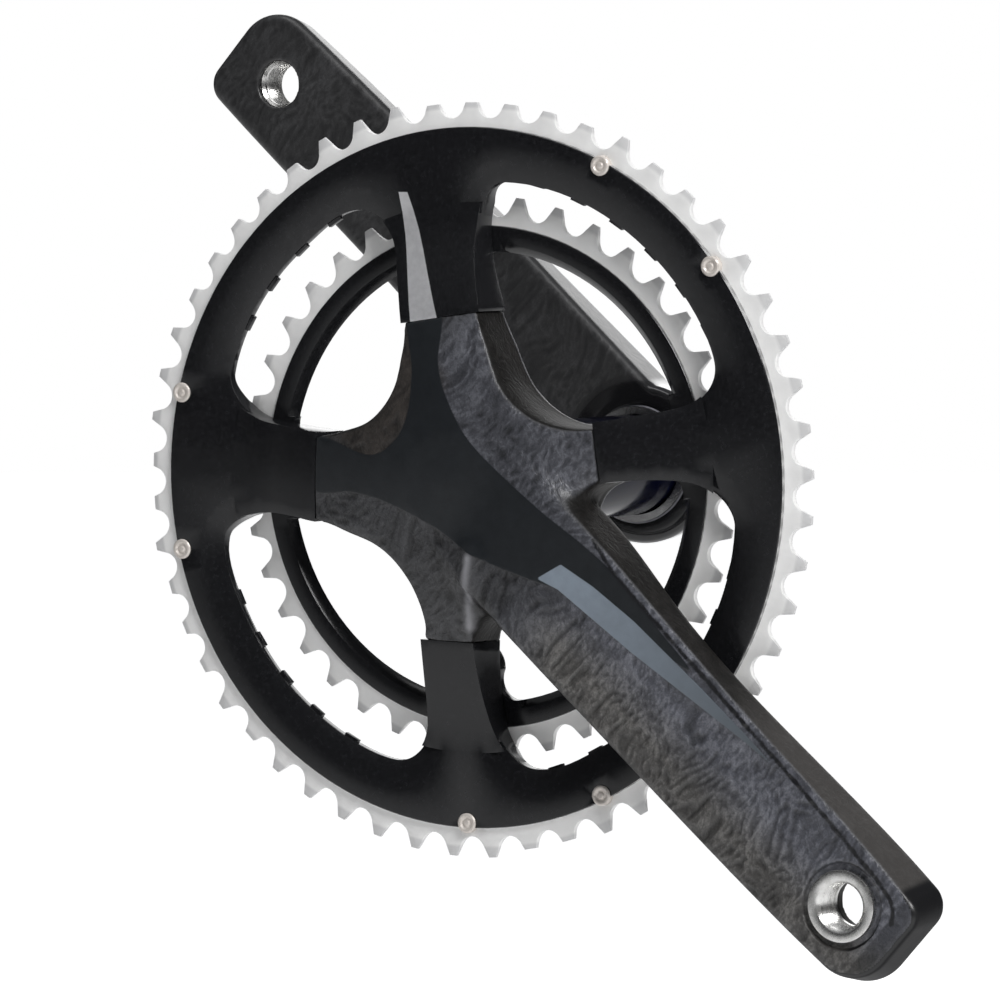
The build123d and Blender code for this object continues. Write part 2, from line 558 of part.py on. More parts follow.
def extractor_cap():
    """Ring screwed into the insert's mouth; the bolt's flange pushes on it to draw the arm off."""
    body = turned([(7.9, 70.0), (13.95, 70.0), (13.95, 72.0), (15.6, 72.1), (15.6, 72.7), (15.0, 73.1),
                   (8.4, 73.1), (7.9, 72.6)])
    for k in range(8):
        a = 45 * k + 22.5
        hole = ring(0.9, 0, 71.6, 75)
        body = body - Pos(11.6 * cos(radians(a)), 0, 11.6 * sin(radians(a))) * hole
    return body


def save(name, shape):
    if isinstance(shape, list):
        shape = Compound(children=shape) if len(shape) > 1 else shape[0]
    shape.label = name
    export_step(shape, f"parts/{name}.step")


save("drive_crank_arm", drive_crank_arm())
save("drive_pedal_insert", pedal_insert(DRIVE_TIP_BACK_Y, DRIVE_TIP_FACE_Y))
save("outer_chainring", outer_chainring())
save("inner_chainring", inner_chainring())
save("shift_pins", shift_pins())
save("chain_guard_pin", chain_guard_pin())
save("tab_bushes", tab_bushes())
for number, arm_deg in enumerate(SPIDER_ARMS, 1):
    save(f"ring_bolt_{number}", ring_bolt(arm_deg))
save("spindle", spindle())
save("spindle_socket", spindle_socket())
save("spindle_plug", spindle_plug())
save("bearing_seal", bearing_seal())
save("wave_washer", wave_washer())
save("left_crank_arm", left_crank_arm())
save("left_pedal_insert", pedal_insert(LEFT_TIP_BACK_Y, LEFT_TIP_FACE_Y, 180))
save("left_spline_insert", left_spline_insert())
save("crank_bolt", crank_bolt())
save("bolt_washer", bolt_washer())
save("extractor_cap", extractor_cap())
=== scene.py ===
"""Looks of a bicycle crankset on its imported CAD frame: camera, studio, sculpted arms and materials."""
import math

import bmesh
import bpy
import numpy as np
from mathutils import Matrix, Vector, noise


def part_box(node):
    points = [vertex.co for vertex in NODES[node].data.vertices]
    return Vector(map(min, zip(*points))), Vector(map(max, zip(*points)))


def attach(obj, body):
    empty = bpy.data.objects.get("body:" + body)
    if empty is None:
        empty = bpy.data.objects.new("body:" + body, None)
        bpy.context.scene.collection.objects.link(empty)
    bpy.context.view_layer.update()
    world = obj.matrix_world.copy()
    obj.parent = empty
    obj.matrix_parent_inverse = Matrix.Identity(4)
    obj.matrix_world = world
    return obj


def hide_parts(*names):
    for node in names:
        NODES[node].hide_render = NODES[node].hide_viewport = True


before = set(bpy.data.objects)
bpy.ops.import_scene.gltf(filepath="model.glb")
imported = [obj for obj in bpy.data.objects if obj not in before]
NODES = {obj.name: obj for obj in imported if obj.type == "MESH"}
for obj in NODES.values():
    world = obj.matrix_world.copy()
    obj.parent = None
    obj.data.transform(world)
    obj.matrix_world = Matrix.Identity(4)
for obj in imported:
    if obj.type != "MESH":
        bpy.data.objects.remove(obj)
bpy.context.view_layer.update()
SCENE = bpy.context.scene
MM = 0.001
NOISE_SEED = 7
noise.seed_set(NOISE_SEED)         # without it, mathutils' noise vectors start from the clock

CRANK = math.radians(-41.5)        # direction of the chainring-side arm in the XZ plane
CRANK_LENGTH = 172.5
GRID = 0.6                         # size of the sculpted arms' mesh, mm
RESIN_IOR = 1.5
RESIN_BLACK = (0.006, 0.006, 0.007)
FAR = 50.0                         # a distance in mm that keeps paint and seams off
CLEAR = 8.0                        # the same for the black tip and the side walls' painted shade


# ---- node helpers --------------------------------------------------------------------------------
class Net:
    """A material's node tree with short calls for the nodes used here."""

    def __init__(self, name, **sockets):
        self.material = bpy.data.materials.new(name)
        self.material.use_nodes = True
        self.tree = self.material.node_tree
        self.tree.nodes.clear()
        out = self.tree.nodes.new("ShaderNodeOutputMaterial")
        self.shader = self.tree.nodes.new("ShaderNodeBsdfPrincipled")
        self.tree.links.new(self.shader.outputs[0], out.inputs[0])
        for key, value in sockets.items():
            self.set(key, value)

    def set(self, key, value):
        socket = self.shader.inputs[key.replace("_", " ")]
        if isinstance(value, bpy.types.NodeSocket):
            self.tree.links.new(value, socket)
        else:
            socket.default_value = value if not isinstance(value, tuple) else (*value, 1.0)

    def put(self, socket, value):
        if isinstance(value, bpy.types.NodeSocket):
            self.tree.links.new(value, socket)
        elif isinstance(value, tuple) and socket.type == "RGBA":
            socket.default_value = (*value, 1.0)
        else:
            socket.default_value = value

    def coords(self):
        return self.tree.nodes.new("ShaderNodeTexCoord").outputs["Object"]

    def mapped(self, vector, turn=(0, 0, 0), scale=(1, 1, 1), move=(0, 0, 0)):
        node = self.tree.nodes.new("ShaderNodeMapping")
        self.put(node.inputs["Vector"], vector)
        node.inputs["Rotation"].default_value = [math.radians(t) for t in turn]
        node.inputs["Scale"].default_value = scale
        node.inputs["Location"].default_value = move
        return node.outputs[0]

    def noise(self, vector, scale, detail=4.0, rough=0.55, warp=0.0, colour=False):
        node = self.tree.nodes.new("ShaderNodeTexNoise")
        self.put(node.inputs["Vector"], vector)
        node.inputs["Scale"].default_value = scale
        node.inputs["Detail"].default_value = detail
        node.inputs["Roughness"].default_value = rough
        node.inputs["Distortion"].default_value = warp
        return node.outputs["Color" if colour else "Fac"]

    def attribute(self, name):
        """A value stored on the mesh's points."""
        node = self.tree.nodes.new("ShaderNodeAttribute")
        node.attribute_name = name
        return node.outputs["Fac"]

    def math(self, kind, a, b=0.0, clamp=False):
        node = self.tree.nodes.new("ShaderNodeMath")
        node.operation = kind
        node.use_clamp = clamp
        self.put(node.inputs[0], a)
        self.put(node.inputs[1], b)
        return node.outputs[0]

    def range(self, value, low, high, to_low=0.0, to_high=1.0, smooth=False):
        """Maps low to to_low and high to to_high, held beyond them."""
        node = self.tree.nodes.new("ShaderNodeMapRange")
        node.interpolation_type = "SMOOTHSTEP" if smooth else "LINEAR"
        self.put(node.inputs[0], value)
        for i, v in enumerate((low, high, to_low, to_high), 1):
            node.inputs[i].default_value = v
        return node.outputs[0]

    def mix(self, fac, a, b):
        node = self.tree.nodes.new("ShaderNodeMix")
        node.data_type = "RGBA"
        self.put(node.inputs[0], fac)
        self.put(node.inputs[6], a)
        self.put(node.inputs[7], b)
        return node.outputs[2]

    def blend(self, fac, a, b):
        """Mixes two plain values, as mix() does two colours."""
        node = self.tree.nodes.new("ShaderNodeMix")
        node.data_type = "FLOAT"
        self.put(node.inputs[0], fac)
        self.put(node.inputs[2], a)
        self.put(node.inputs[3], b)
        return node.outputs[0]

    def ramp(self, fac, *stops):
        node = self.tree.nodes.new("ShaderNodeValToRGB")
        while len(node.color_ramp.elements) < len(stops):
            node.color_ramp.elements.new(0.5)
        for element, (place, colour) in zip(node.color_ramp.elements, stops):
            element.position = place
            element.color = (*colour, 1.0)
        self.put(node.inputs[0], fac)
        return node.outputs[0]

    def bump(self, height, distance_mm, strength=1.0, normal=None):
        node = self.tree.nodes.new("ShaderNodeBump")
        node.inputs["Strength"].default_value = strength
        node.inputs["Distance"].default_value = distance_mm * MM
        self.put(node.inputs["Height"], height)
        if normal is not None:
            self.put(node.inputs["Normal"], normal)
        return node.outputs[0]

    def radius(self, x=0.0, z=0.0):
        """Distance from an axis along Y, in mm, and the three parts of the place in mm."""
        split = self.tree.nodes.new("ShaderNodeSeparateXYZ")
        self.put(split.inputs[0], self.mapped(self.coords(), scale=(1 / MM,) * 3, move=(-x, 0, -z)))
        xx = self.math("MULTIPLY", split.outputs[0], split.outputs[0])
        zz = self.math("MULTIPLY", split.outputs[2], split.outputs[2])
        return self.math("SQRT", self.math("ADD", xx, zz)), split.outputs

    def inside(self, parts, edges):
        """Above 0 inside the convex shape on x and z whose sides run between these points."""
        value = None
        for (x0, z0), (x1, z1) in zip(edges, edges[1:] + edges[:1]):
            length = math.hypot(x1 - x0, z1 - z0)
            a, b = -(z1 - z0) / length, (x1 - x0) / length
            side = self.math("ADD", self.math("MULTIPLY", parts[0], a), self.math("MULTIPLY", parts[2], b))
            side = self.math("SUBTRACT", side, a * x0 + b * z0)
            value = side if value is None else self.math("MINIMUM", value, side)
        return value


# ---- materials -----------------------------------------------------------------------------------
def carbon_layers(net, place, coarse=1.0):
    """Fibre cloth under resin: lighter crests and darker hollows as painted shade, cloudy depth and short
    streaks. Returns tone and height.
    """
    drift = net.noise(place, 70 * coarse, 3, 0.6, colour=True)
    shift = net.tree.nodes.new("ShaderNodeVectorMath")
    shift.operation = "MULTIPLY_ADD"
    net.put(shift.inputs[0], drift)
    shift.inputs[1].default_value = (16 * MM,) * 3
    net.put(shift.inputs[2], place)
    warped = shift.outputs[0]
    crest = net.attribute("crest")
    clouds = net.noise(warped, 60 * coarse, 4, 0.6)
    streaks = net.noise(net.mapped(warped, (0, 35, 0), (1.0, 1.0, 0.35)), 700 * coarse, 3, 0.6)
    fine = net.noise(place, 1900, 2, 0.65)
    # the crest term paints the wrinkles' hollows darker than their crests: painted shade
    tone = net.math("ADD", net.math("MULTIPLY", crest, 0.15), net.math("MULTIPLY", clouds, 0.36))
    tone = net.math("ADD", tone, net.math("MULTIPLY", streaks, 0.26))
    tone = net.math("ADD", tone, net.math("MULTIPLY", fine, 0.18))
    height = net.math("ADD", net.math("MULTIPLY", streaks, 0.6), net.math("MULTIPLY", clouds, 0.4))
    return tone, height


def drive_carbon():
    """Wrinkled cloth with a painted panel, a slate band, painted shade on the side walls, a painted highlight
    on the fold and a black tip.
    """
    net = Net("satin_chopped_carbon", IOR=RESIN_IOR, Coat_Roughness=0.2)
    place = net.coords()
    tone, height = carbon_layers(net, place)
    cloth = net.ramp(tone, (0.32, (0.020, 0.021, 0.025)), (0.49, (0.082, 0.085, 0.101)),
                     (0.66, (0.230, 0.237, 0.270)))
    lower_edge_warm_light = net.ramp(tone, (0.32, (0.018, 0.017, 0.015)), (0.49, (0.078, 0.074, 0.068)),
                     (0.66, (0.235, 0.226, 0.208)))
    # a warmer cloth towards the arm's lower edge: painted warm light
    cloth = net.mix(net.math("MULTIPLY", net.attribute("lower"), 0.85), cloth, lower_edge_warm_light)
    # painted shade: the cloth is dimmer round the hub, where the spider lies deeper than the arm's face, and
    # full along the arm
    hub_shade_cloth = net.mix(net.range(tone, 0.38, 0.60), (0.009, 0.009, 0.010), (0.060, 0.061, 0.066))
    cloth = net.mix(net.attribute("depth"), hub_shade_cloth, cloth)
    # browner, darker cloth on the spider's far side from the arm: painted warm shade
    far_side_warm_shade = net.mix(net.range(tone, 0.35, 0.65), (0.014, 0.012, 0.011), (0.062, 0.054, 0.049))
    cloth = net.mix(net.attribute("warm"), cloth, far_side_warm_shade)

    # painted shade: side walls darker than the faces they turn from, less dark along the arm; and a painted
    # highlight on the crest of the fold below the hub
    shaded_wall = net.range(net.attribute("side_mm"), 0.6, -0.6, smooth=True)
    shell = net.mix(net.range(tone, 0.36, 0.62), (0.008, 0.0075, 0.007), (0.034, 0.031, 0.030))
    pale = net.mix(net.range(tone, 0.36, 0.62), (0.050, 0.047, 0.045), (0.082, 0.078, 0.075))
    shell = net.mix(net.range(net.attribute("along_mm"), 102, 130, smooth=True), shell, pale)
    cloth = net.mix(shaded_wall, cloth, shell)
    # painted highlight along the fold's crest
    cloth = net.mix(net.math("MULTIPLY", net.attribute("fold"), 0.85), cloth, (0.30, 0.30, 0.32))

    # painted panel and slate band
    panel = net.range(net.attribute("panel_mm"), 0.35, -0.15, smooth=True)
    slate = net.range(net.attribute("slate_mm"), 0.2, -0.1, smooth=True)
    grime = net.noise(place, 260, 3, 0.6)
    satin = net.mix(net.range(grime, 0.3, 0.7), (0.0105, 0.0125, 0.0150), (0.0145, 0.0170, 0.0200))
    colour = net.mix(panel, cloth, satin)
    along = net.range(net.attribute("along_mm"), 45, 125)
    paint = net.mix(along, (0.27, 0.32, 0.38), (0.092, 0.107, 0.122))
    paint = net.mix(net.range(grime, 0.35, 0.65, 0.0, 0.2), paint, (0.11, 0.125, 0.14))
    colour = net.mix(slate, colour, paint)

    # black tip, and the dark seam along the arm's upper edge
    black = net.range(net.attribute("black_mm"), 1.2, -1.2, smooth=True)
    colour = net.mix(black, colour, RESIN_BLACK)
    wobble = net.math("MULTIPLY", net.math("SUBTRACT", net.noise(place, 330, 3, 0.6), 0.5), 1.5)
    ridge = net.math("ABSOLUTE", net.math("ADD", net.attribute("ridge_mm"), wobble))
    seam = net.range(ridge, 0.3, 0.95, smooth=True)
    colour = net.mix(seam, (0.010, 0.010, 0.012), colour)
    net.set("Base Color", colour)

    painted = net.math("MAXIMUM", panel, slate)
    smooth = net.math("MAXIMUM", painted, black)
    satin_rough = net.blend(smooth, net.range(tone, 0.35, 0.65, 0.44, 0.28), 0.34)
    net.set("Roughness", net.blend(shaded_wall, satin_rough, 0.52))
    net.set("Coat Weight", net.range(shaded_wall, 0.0, 1.0, 0.2, 0.0))
    net.set("Specular IOR Level", net.range(shaded_wall, 0.0, 1.0, 0.5, 0.18))
    relief = net.blend(smooth, height, 0.62)
    relief = net.math("ADD", relief, net.math("MULTIPLY", net.noise(place, 1300, 2), 0.05))
    net.set("Normal", net.bump(relief, 0.5, 1.0))
    return net.material


def left_carbon():
    """Darker cloth, with a plain black hub."""
    net = Net("dark_moulded_carbon", IOR=RESIN_IOR, Coat_Weight=0.35, Coat_Roughness=0.22)
    place = net.coords()
    tone, height = carbon_layers(net, place, 0.7)
    cloth = net.ramp(tone, (0.32, (0.010, 0.010, 0.011)), (0.5, (0.028, 0.028, 0.029)),
                     (0.68, (0.066, 0.066, 0.069)))
    black = net.range(net.attribute("black_mm"), 1.0, -1.0, smooth=True)
    net.set("Base Color", net.mix(black, cloth, RESIN_BLACK))
    net.set("Roughness", net.blend(black, net.range(tone, 0.35, 0.65, 0.46, 0.34), 0.12))
    net.set("Normal", net.bump(net.blend(black, height, 0.5), 0.4, 0.6))
    return net.material


def ring_finish(name, dark_r, tip_r, foil=()):
    """Black anodised body, bare turned metal outside dark_r, painted shade greying the tooth tips, patches of
    foil.
    """
    anodised = (0.0085, 0.0087, 0.0098)
    speckled = tuple(1.7 * c for c in anodised)
    net = Net(name, IOR=RESIN_IOR)
    radius, parts = net.radius()
    place = net.coords()
    bare = net.range(radius, dark_r - 0.06, dark_r + 0.06)
    turned = net.noise(net.mapped(place, scale=(40, 40, 40)), 6, 2)
    rings = net.math("SINE", net.math("ADD", net.math("MULTIPLY", radius, 21.0),
                                      net.math("MULTIPLY", turned, 2.0)))
    stain = net.noise(place, 120, 4, 0.6)
    metal = net.mix(net.range(stain, 0.3, 0.7), (0.90, 0.897, 0.89), (0.97, 0.967, 0.958))
    # painted shade: the metal greys at the tooth tips
    metal = net.mix(net.range(radius, tip_r - 0.5, tip_r + 0.4, 0.0, 0.55), metal, (0.55, 0.55, 0.56))
    speck = net.noise(place, 900, 3, 0.65)
    black = net.mix(net.range(speck, 0.4, 0.7), anodised, speckled)
    colour = net.mix(bare, black, metal)
    metallic = net.math("MULTIPLY", bare, 0.06)
    anodised_rough = net.range(speck, 0.3, 0.7, 0.16, 0.21)
    bare_rough = net.range(stain, 0.3, 0.7, 0.4, 0.5)
    roughness = net.blend(bare, anodised_rough, bare_rough)
    for edges, (y_from, y_to) in foil:
        mark = net.range(net.inside(parts, edges), -0.08, 0.08)
        front = net.math("MULTIPLY", net.math("LESS_THAN", parts[1], y_to),
                         net.math("GREATER_THAN", parts[1], y_from))
        mark = net.math("MULTIPLY", mark, front)
        shade = net.range(net.noise(place, 420, 3, 0.6), 0.35, 0.65)
        colour = net.mix(mark, colour, net.mix(shade, (0.80, 0.80, 0.82), (0.90, 0.90, 0.92)))
        metallic = net.math("MAXIMUM", metallic, net.math("MULTIPLY", mark, 0.6))
        roughness = net.blend(mark, roughness, 0.35)
    net.set("Base Color", colour)
    net.set("Metallic", metallic)
    net.set("Roughness", roughness)
    lines = net.math("MULTIPLY", rings, net.blend(bare, 0.25, 0.6))
    net.set("Normal", net.bump(net.math("ADD", lines, net.math("MULTIPLY", speck, 0.5)), 0.012, 0.25))
    return net.material


def machined(name, light, dark, rough, x=0.0, z=0.0, metallic=1.0):
    """Turned metal: fine rings about its own axis, patches of slightly different polish."""
    net = Net(name, Metallic=metallic)
    radius = net.radius(x, z)[0]
    place = net.coords()
    polish = net.noise(place, 380, 4, 0.6)
    lines = net.noise(place, 1800, 2)
    rings = net.math("SINE", net.math("ADD", net.math("MULTIPLY", radius, 26),
                                      net.math("MULTIPLY", lines, 3)))
    net.set("Base Color", net.mix(net.range(polish, 0.3, 0.7), dark, light))
    net.set("Roughness", net.range(polish, 0.3, 0.7, rough + 0.08, rough - 0.04))
    net.set("Normal", net.bump(rings, 0.015, 0.35))
    return net.material


def coated(name, low, high, rough, scale=500, coat=0.0, relief=0.03, ior=RESIN_IOR):
    """Anodised, moulded or painted skin with faint mottling and orange peel."""
    net = Net(name, Coat_Weight=coat, Coat_Roughness=0.08, IOR=ior)
    place = net.coords()
    mottle = net.noise(place, scale, 4, 0.6)
    net.set("Base Color", net.mix(net.range(mottle, 0.3, 0.7), low, high))
    net.set("Roughness", net.range(mottle, 0.3, 0.7, rough - 0.04, rough + 0.05))
    net.set("Normal", net.bump(net.noise(place, scale * 2.5, 3), relief, 0.5))
    return net.material


# ---- mesh helpers --------------------------------------------------------------------------------
def new_object(name, mesh):
    obj = bpy.data.objects.new(name, mesh)
    SCENE.collection.objects.link(obj)
    return obj


def finish_piece(obj, body, material, node):
    """Gives a new piece its material and its body, and hides the CAD node that it stands in for."""
    obj.data.materials.clear()
    obj.data.materials.append(material)
    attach(obj, body)
    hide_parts(node)


def remeshed(name, node):
    """A closed, even quad copy of a CAD node."""
    copy = NODES[node].data.copy()
    bm = bmesh.new()
    bm.from_mesh(copy)
    bmesh.ops.remove_doubles(bm, verts=bm.verts, dist=1e-6)
    bm.to_mesh(copy)
    bm.free()
    obj = new_object(name, copy)
    step = obj.modifiers.new("grid", "REMESH")
    step.mode = "VOXEL"
    step.voxel_size = GRID * MM
    step.adaptivity = 0.0
    mesh = bpy.data.meshes.new_from_object(obj.evaluated_get(bpy.context.evaluated_depsgraph_get()))
    obj.modifiers.clear()
    obj.data = mesh
    return obj


def points_of(mesh):
    co = np.empty(len(mesh.vertices) * 3)
    mesh.vertices.foreach_get("co", co)
    return co.reshape(-1, 3) / MM


def normals_of(mesh):
    normals = np.empty(len(mesh.vertices) * 3, np.float32)
    mesh.vertex_normals.foreach_get("vector", normals)
    return normals.reshape(-1, 3).astype(float)


def set_points(mesh, co):
    mesh.vertices.foreach_set("co", (co * MM).astype(np.float32).ravel())
    mesh.update()


def edges_of(mesh):
    edges = np.empty(len(mesh.edges) * 2, np.int64)
    mesh.edges.foreach_get("vertices", edges)
    return edges.reshape(-1, 2)


class Smoother:
    """Moves points towards the mean of their neighbours."""

    def __init__(self, mesh):
        self.a, self.b = edges_of(mesh).T
        self.count = len(mesh.vertices)
        self.degree = np.bincount(self.a, minlength=self.count) + np.bincount(self.b, minlength=self.count)

    def step(self, co):
        total = np.empty_like(co)
        for k in range(co.shape[1]):
            total[:, k] = (np.bincount(self.a, co[self.b, k], self.count)
                           + np.bincount(self.b, co[self.a, k], self.count))
        return total / self.degree[:, None] - co


def relaxed(mesh, co, rounds=4):
    """Takes out the grid's steps and keeps the volume."""
    shrink, grow = 0.5, 0.52
    smoother = Smoother(mesh)
    for _ in range(rounds):
        co = co + shrink * smoother.step(co)
        co = co - grow * smoother.step(co)
    return co


def evened(smoother, co, weight, rounds):
    """Rounds off everything, raised or hollow, where weight is above 0."""
    for _ in range(rounds):
        co = co + (0.5 * weight)[:, None] * smoother.step(co)
    return co


def filled(mesh, co, weight, rounds):
    """Fills hollow corners into round fillets and leaves raised edges alone."""
    refresh = 15
    smoother = Smoother(mesh)
    for n in range(rounds):
        if n % refresh == 0:
            set_points(mesh, co)
            normal = normals_of(mesh)
        move = smoother.step(co)
        out = np.clip((move * normal).sum(1), 0, None)
        co = co + (0.9 * weight * out)[:, None] * normal
    return co


def rounded_line(points, closed, steps=8):
    """Catmull-Rom curve through the points, as an array."""
    p = np.array(points, float)
    n = len(p)
    out = []
    for i in range(n if closed else n - 1):
        near = [p[(i + k) % n] if closed else p[min(max(i + k, 0), n - 1)] for k in (-1, 0, 1, 2)]
        for t in np.arange(steps) / steps:
            out.append(0.5 * (2 * near[1] + (near[2] - near[0]) * t
                              + (2 * near[0] - 5 * near[1] + 4 * near[2] - near[3]) * t ** 2
                              + (3 * near[1] - near[0] - 3 * near[2] + near[3]) * t ** 3))
    if not closed:
        out.append(p[-1])
    return np.array(out)


def line_distance(u, v, line, closed=False):
    """Distance from each (u, v) to a polyline."""
    best = np.full(len(u), 1e9)
    ends = np.vstack([line, line[:1]]) if closed else line
    for (x0, y0), (x1, y1) in zip(ends[:-1], ends[1:]):
        dx, dy = x1 - x0, y1 - y0
        t = np.clip(((u - x0) * dx + (v - y0) * dy) / max(dx * dx + dy * dy, 1e-9), 0, 1)
        best = np.minimum(best, (u - x0 - t * dx) ** 2 + (v - y0 - t * dy) ** 2)
    return np.sqrt(best)


def area_distance(u, v, line):
    """Distance to a closed line, below 0 inside it."""
    inside = np.zeros(len(u), bool)
    for (x0, y0), (x1, y1) in zip(line, np.roll(line, -1, 0)):
        if y0 != y1:
            cross = ((v >= y0) != (v >= y1)) & (u < x0 + (v - y0) * (x1 - x0) / (y1 - y0))
            inside ^= cross
    distance = line_distance(u, v, line, closed=True)
    return np.where(inside, -distance, distance)


def fade(value, start, end):
    """0 at start and 1 at end, straight in between and held beyond."""
    return np.clip((value - start) / (end - start), 0, 1)


def spot(u, v, centre, area):
    """A soft round spot, 1 in the middle, that falls to 0.37 where the squared distance is area."""
    return np.exp(-((u - centre[0]) ** 2 + (v - centre[1]) ** 2) / area)


def store(mesh, name, values):
    """Keeps one value per point on the mesh, for the materials."""
    attribute = mesh.attributes.new(name, "FLOAT", "POINT")
    attribute.data.foreach_set("value", np.asarray(values, np.float32))


def crank_frame(co, turn=0.0):
    """Along the arm and across it, in mm."""
    a = CRANK + math.radians(turn)
    u = co[:, 0] * math.cos(a) + co[:, 2] * math.sin(a)
    v = -co[:, 0] * math.sin(a) + co[:, 2] * math.cos(a)
    return u, v


def crumple(u, v, where):
    """Sharp crests of the moulded cloth, 0 in the hollows and 1 on the crests, where asked for."""
    along, across = 0.44, 0.21                 # wrinkles per mm, in the two directions
    drift_along, drift_across = 0.05, 0.06     # the slower noise that bends them
    swirl = 2.6                                # and how far
    roughness, lacunarity, octaves, offset, gain = 0.95, 2.15, 4, 1.0, 1.7
    faint, full = 0.005, 0.5
    height = np.zeros(len(u))
    for i in np.flatnonzero(where > faint):
        drift = noise.noise_vector(Vector((u[i] * drift_along, v[i] * drift_across, 0.3)))
        place = Vector((u[i] * along + swirl * drift.x, v[i] * across + swirl * drift.y, 4.1))
        height[i] = noise.ridged_multi_fractal(place, roughness, lacunarity, octaves, offset, gain)
    low, high = np.percentile(height[where > full], (4, 96))
    return fade(height, low, high)


# ---- chainring-side arm and spider ---------------------------------------------------------------
# Outlines on the front face, in mm along the arm and across it.
PANEL = [(-43.5, 25.2), (-35.2, 32.5), (-24, 21.4), (-8.7, 14.9), (5.1, 13.1), (27.3, 14.7), (46.2, 17.4),
         (62, 18.4), (80, 16.6), (94, 15.0), (72, 10.5), (56, 7), (39.7, -1.5), (21.2, -9.4), (5, -12.8),
         (-11.1, -18.5), (-22, -25), (-32.8, -34), (-43, -22.8), (-24.9, -13.2), (-20.2, -5), (-21.7, 4.5),
         (-30, 15)]
SLATE = [(41, 0.2), (48, 2.6), (77, 5.9), (102, 9.8), (120, 12.6), (132, 14.0), (118, 14.2), (99, 13.9),
         (72, 12.9), (56, 11.0), (44, 8.4)]
RIDGE = [(46, 21.0), (59, 18.4), (85, 17.2), (112, 16.3), (147, 15.0), (166, 13.8), (182, 12.0), (187, 7.5)]
FOLD = [(20.8, -11), (23.5, -15), (27.5, -20.5), (31.9, -27.6)]
FILLED_Y = (-50.5, -54.5)          # hollow corners fill in over this stretch, back to front
RAISED_Y = (-46, -49)              # and the spider's rounded front starts over this one
ARM_ROOT = (29, 22)                # where the arm's upper edge leaves the spider
ROOT_AREA = 130                    # mm^2
CALM = (28, 21)                    # middle of the unwrinkled patch there
CALM_AREA = 150
FOLD_LIFT = 1.5                    # height of the fold below the hub
FOLD_WIDTH = 3.4
# width of the painted highlight along the fold's crest
FOLD_HIGHLIGHT_WIDTH = 1.25
WRINKLE = 0.20                     # depth of the wrinkles on the spider
WRINKLE_ARM = 0.15                 # added along the arm
WRINKLE_EDGE = 0.28                # added again towards the arm's lower edge
TIP_BLACK = 183.0                  # the black end begins here


def drive_surface(mesh):
    """The CAD arm with round hollows, a softly moulded spider and an even root."""
    co = relaxed(mesh, points_of(mesh))
    u, v = crank_frame(co)
    radius = np.hypot(u, v)
    hub = np.where(u > 40, fade(radius, 53, 50), fade(radius, 50, 47))
    co = filled(mesh, co, fade(co[:, 1], *FILLED_Y) * fade(u, 82, 68) * hub, 110)
    smoother = Smoother(mesh)
    spider = fade(co[:, 1], *RAISED_Y) * fade(radius, 45.5, 42.5)
    co = evened(smoother, co, spider, 26)
    root = fade(co[:, 1], *RAISED_Y) * spot(u, v, ARM_ROOT, ROOT_AREA)
    return evened(smoother, co, root, 90)


def drive_arm():
    """Sculpts the chainring-side arm and stores where its materials change."""
    obj = remeshed("drive_arm_shell", "drive_crank_arm")
    mesh = obj.data
    co = drive_surface(mesh)
    set_points(mesh, co)
    normal = normals_of(mesh)
    u, v = crank_frame(co)

    # painted areas, on faces that look forwards only
    face = np.where(normal[:, 1] < -0.1, -FAR, FAR)
    panel = np.maximum(area_distance(u, v, rounded_line(PANEL, True)), face)
    slate = np.maximum(area_distance(u, v, np.array(SLATE, float)), face)

    # wrinkles outside the painted areas, and the fold below the hub
    facing = fade(-normal[:, 1], 0.78, 0.93)
    cloth = facing * fade(np.minimum(panel, slate), 0, 1.2) * fade(u, 186, 180)
    cloth = cloth * (1 - 0.97 * spot(u, v, CALM, CALM_AREA))
    crest = crumple(u, v, cloth)
    arm_only = fade(u, 35, 65) * np.maximum(fade(u, 170, 140), 0.35)
    depth = WRINKLE + (WRINKLE_ARM + WRINKLE_EDGE * fade(v, 4, -10)) * arm_only
    from_fold = line_distance(u, v, rounded_line(FOLD, False))
    lift = FOLD_LIFT * np.exp(-(from_fold / FOLD_WIDTH) ** 2) * facing
    co = co + (cloth * depth * (crest - 1) + lift)[:, None] * normal
    set_points(mesh, co)

    store(mesh, "crest", crest)
    # the painted highlight along the fold's crest
    store(mesh, "fold", (normal[:, 1] < -0.3) * np.exp(-(from_fold / FOLD_HIGHLIGHT_WIDTH) ** 2))
    # where the lower edge's painted warm light goes
    store(mesh, "lower", fade(v, 3, -9) * fade(u, 40, 60))
    store(mesh, "panel_mm", panel)
    store(mesh, "slate_mm", slate)
    from_ridge = line_distance(u, v, rounded_line(RIDGE, False))
    store(mesh, "ridge_mm", np.where((u > 46) & (normal[:, 1] < 0.0), from_ridge, FAR))
    store(mesh, "along_mm", u)
    # how much of the cloth's full tone shows over the painted shade round the hub: all of it along the arm,
    # some on the spider's upper side
    upper = fade(v, 2, 12) * fade(u, -34, -24)
    store(mesh, "depth", np.maximum(fade(u, 34, 56), 0.6 * upper))
    # where the far side's painted warm shade goes
    store(mesh, "warm", fade(u, -16, -22) * fade(np.abs(v - 2), 22, 16))
    tip = TIP_BLACK - 0.10 * np.abs(v) ** 1.35 * (v < 0)
    store(mesh, "black_mm", np.where(normal[:, 1] < -0.9, CLEAR, tip - u))
    # where the side walls get their painted shade
    store(mesh, "side_mm", np.where(co[:, 1] < -44, -4 * (normal[:, 1] + 0.62), CLEAR))
    return obj


# ---- left arm ------------------------------------------------------------------------------------
LEFT_WRINKLE = 0.14
LEFT_HUB_R = 25.0                  # the plain black hub ends here


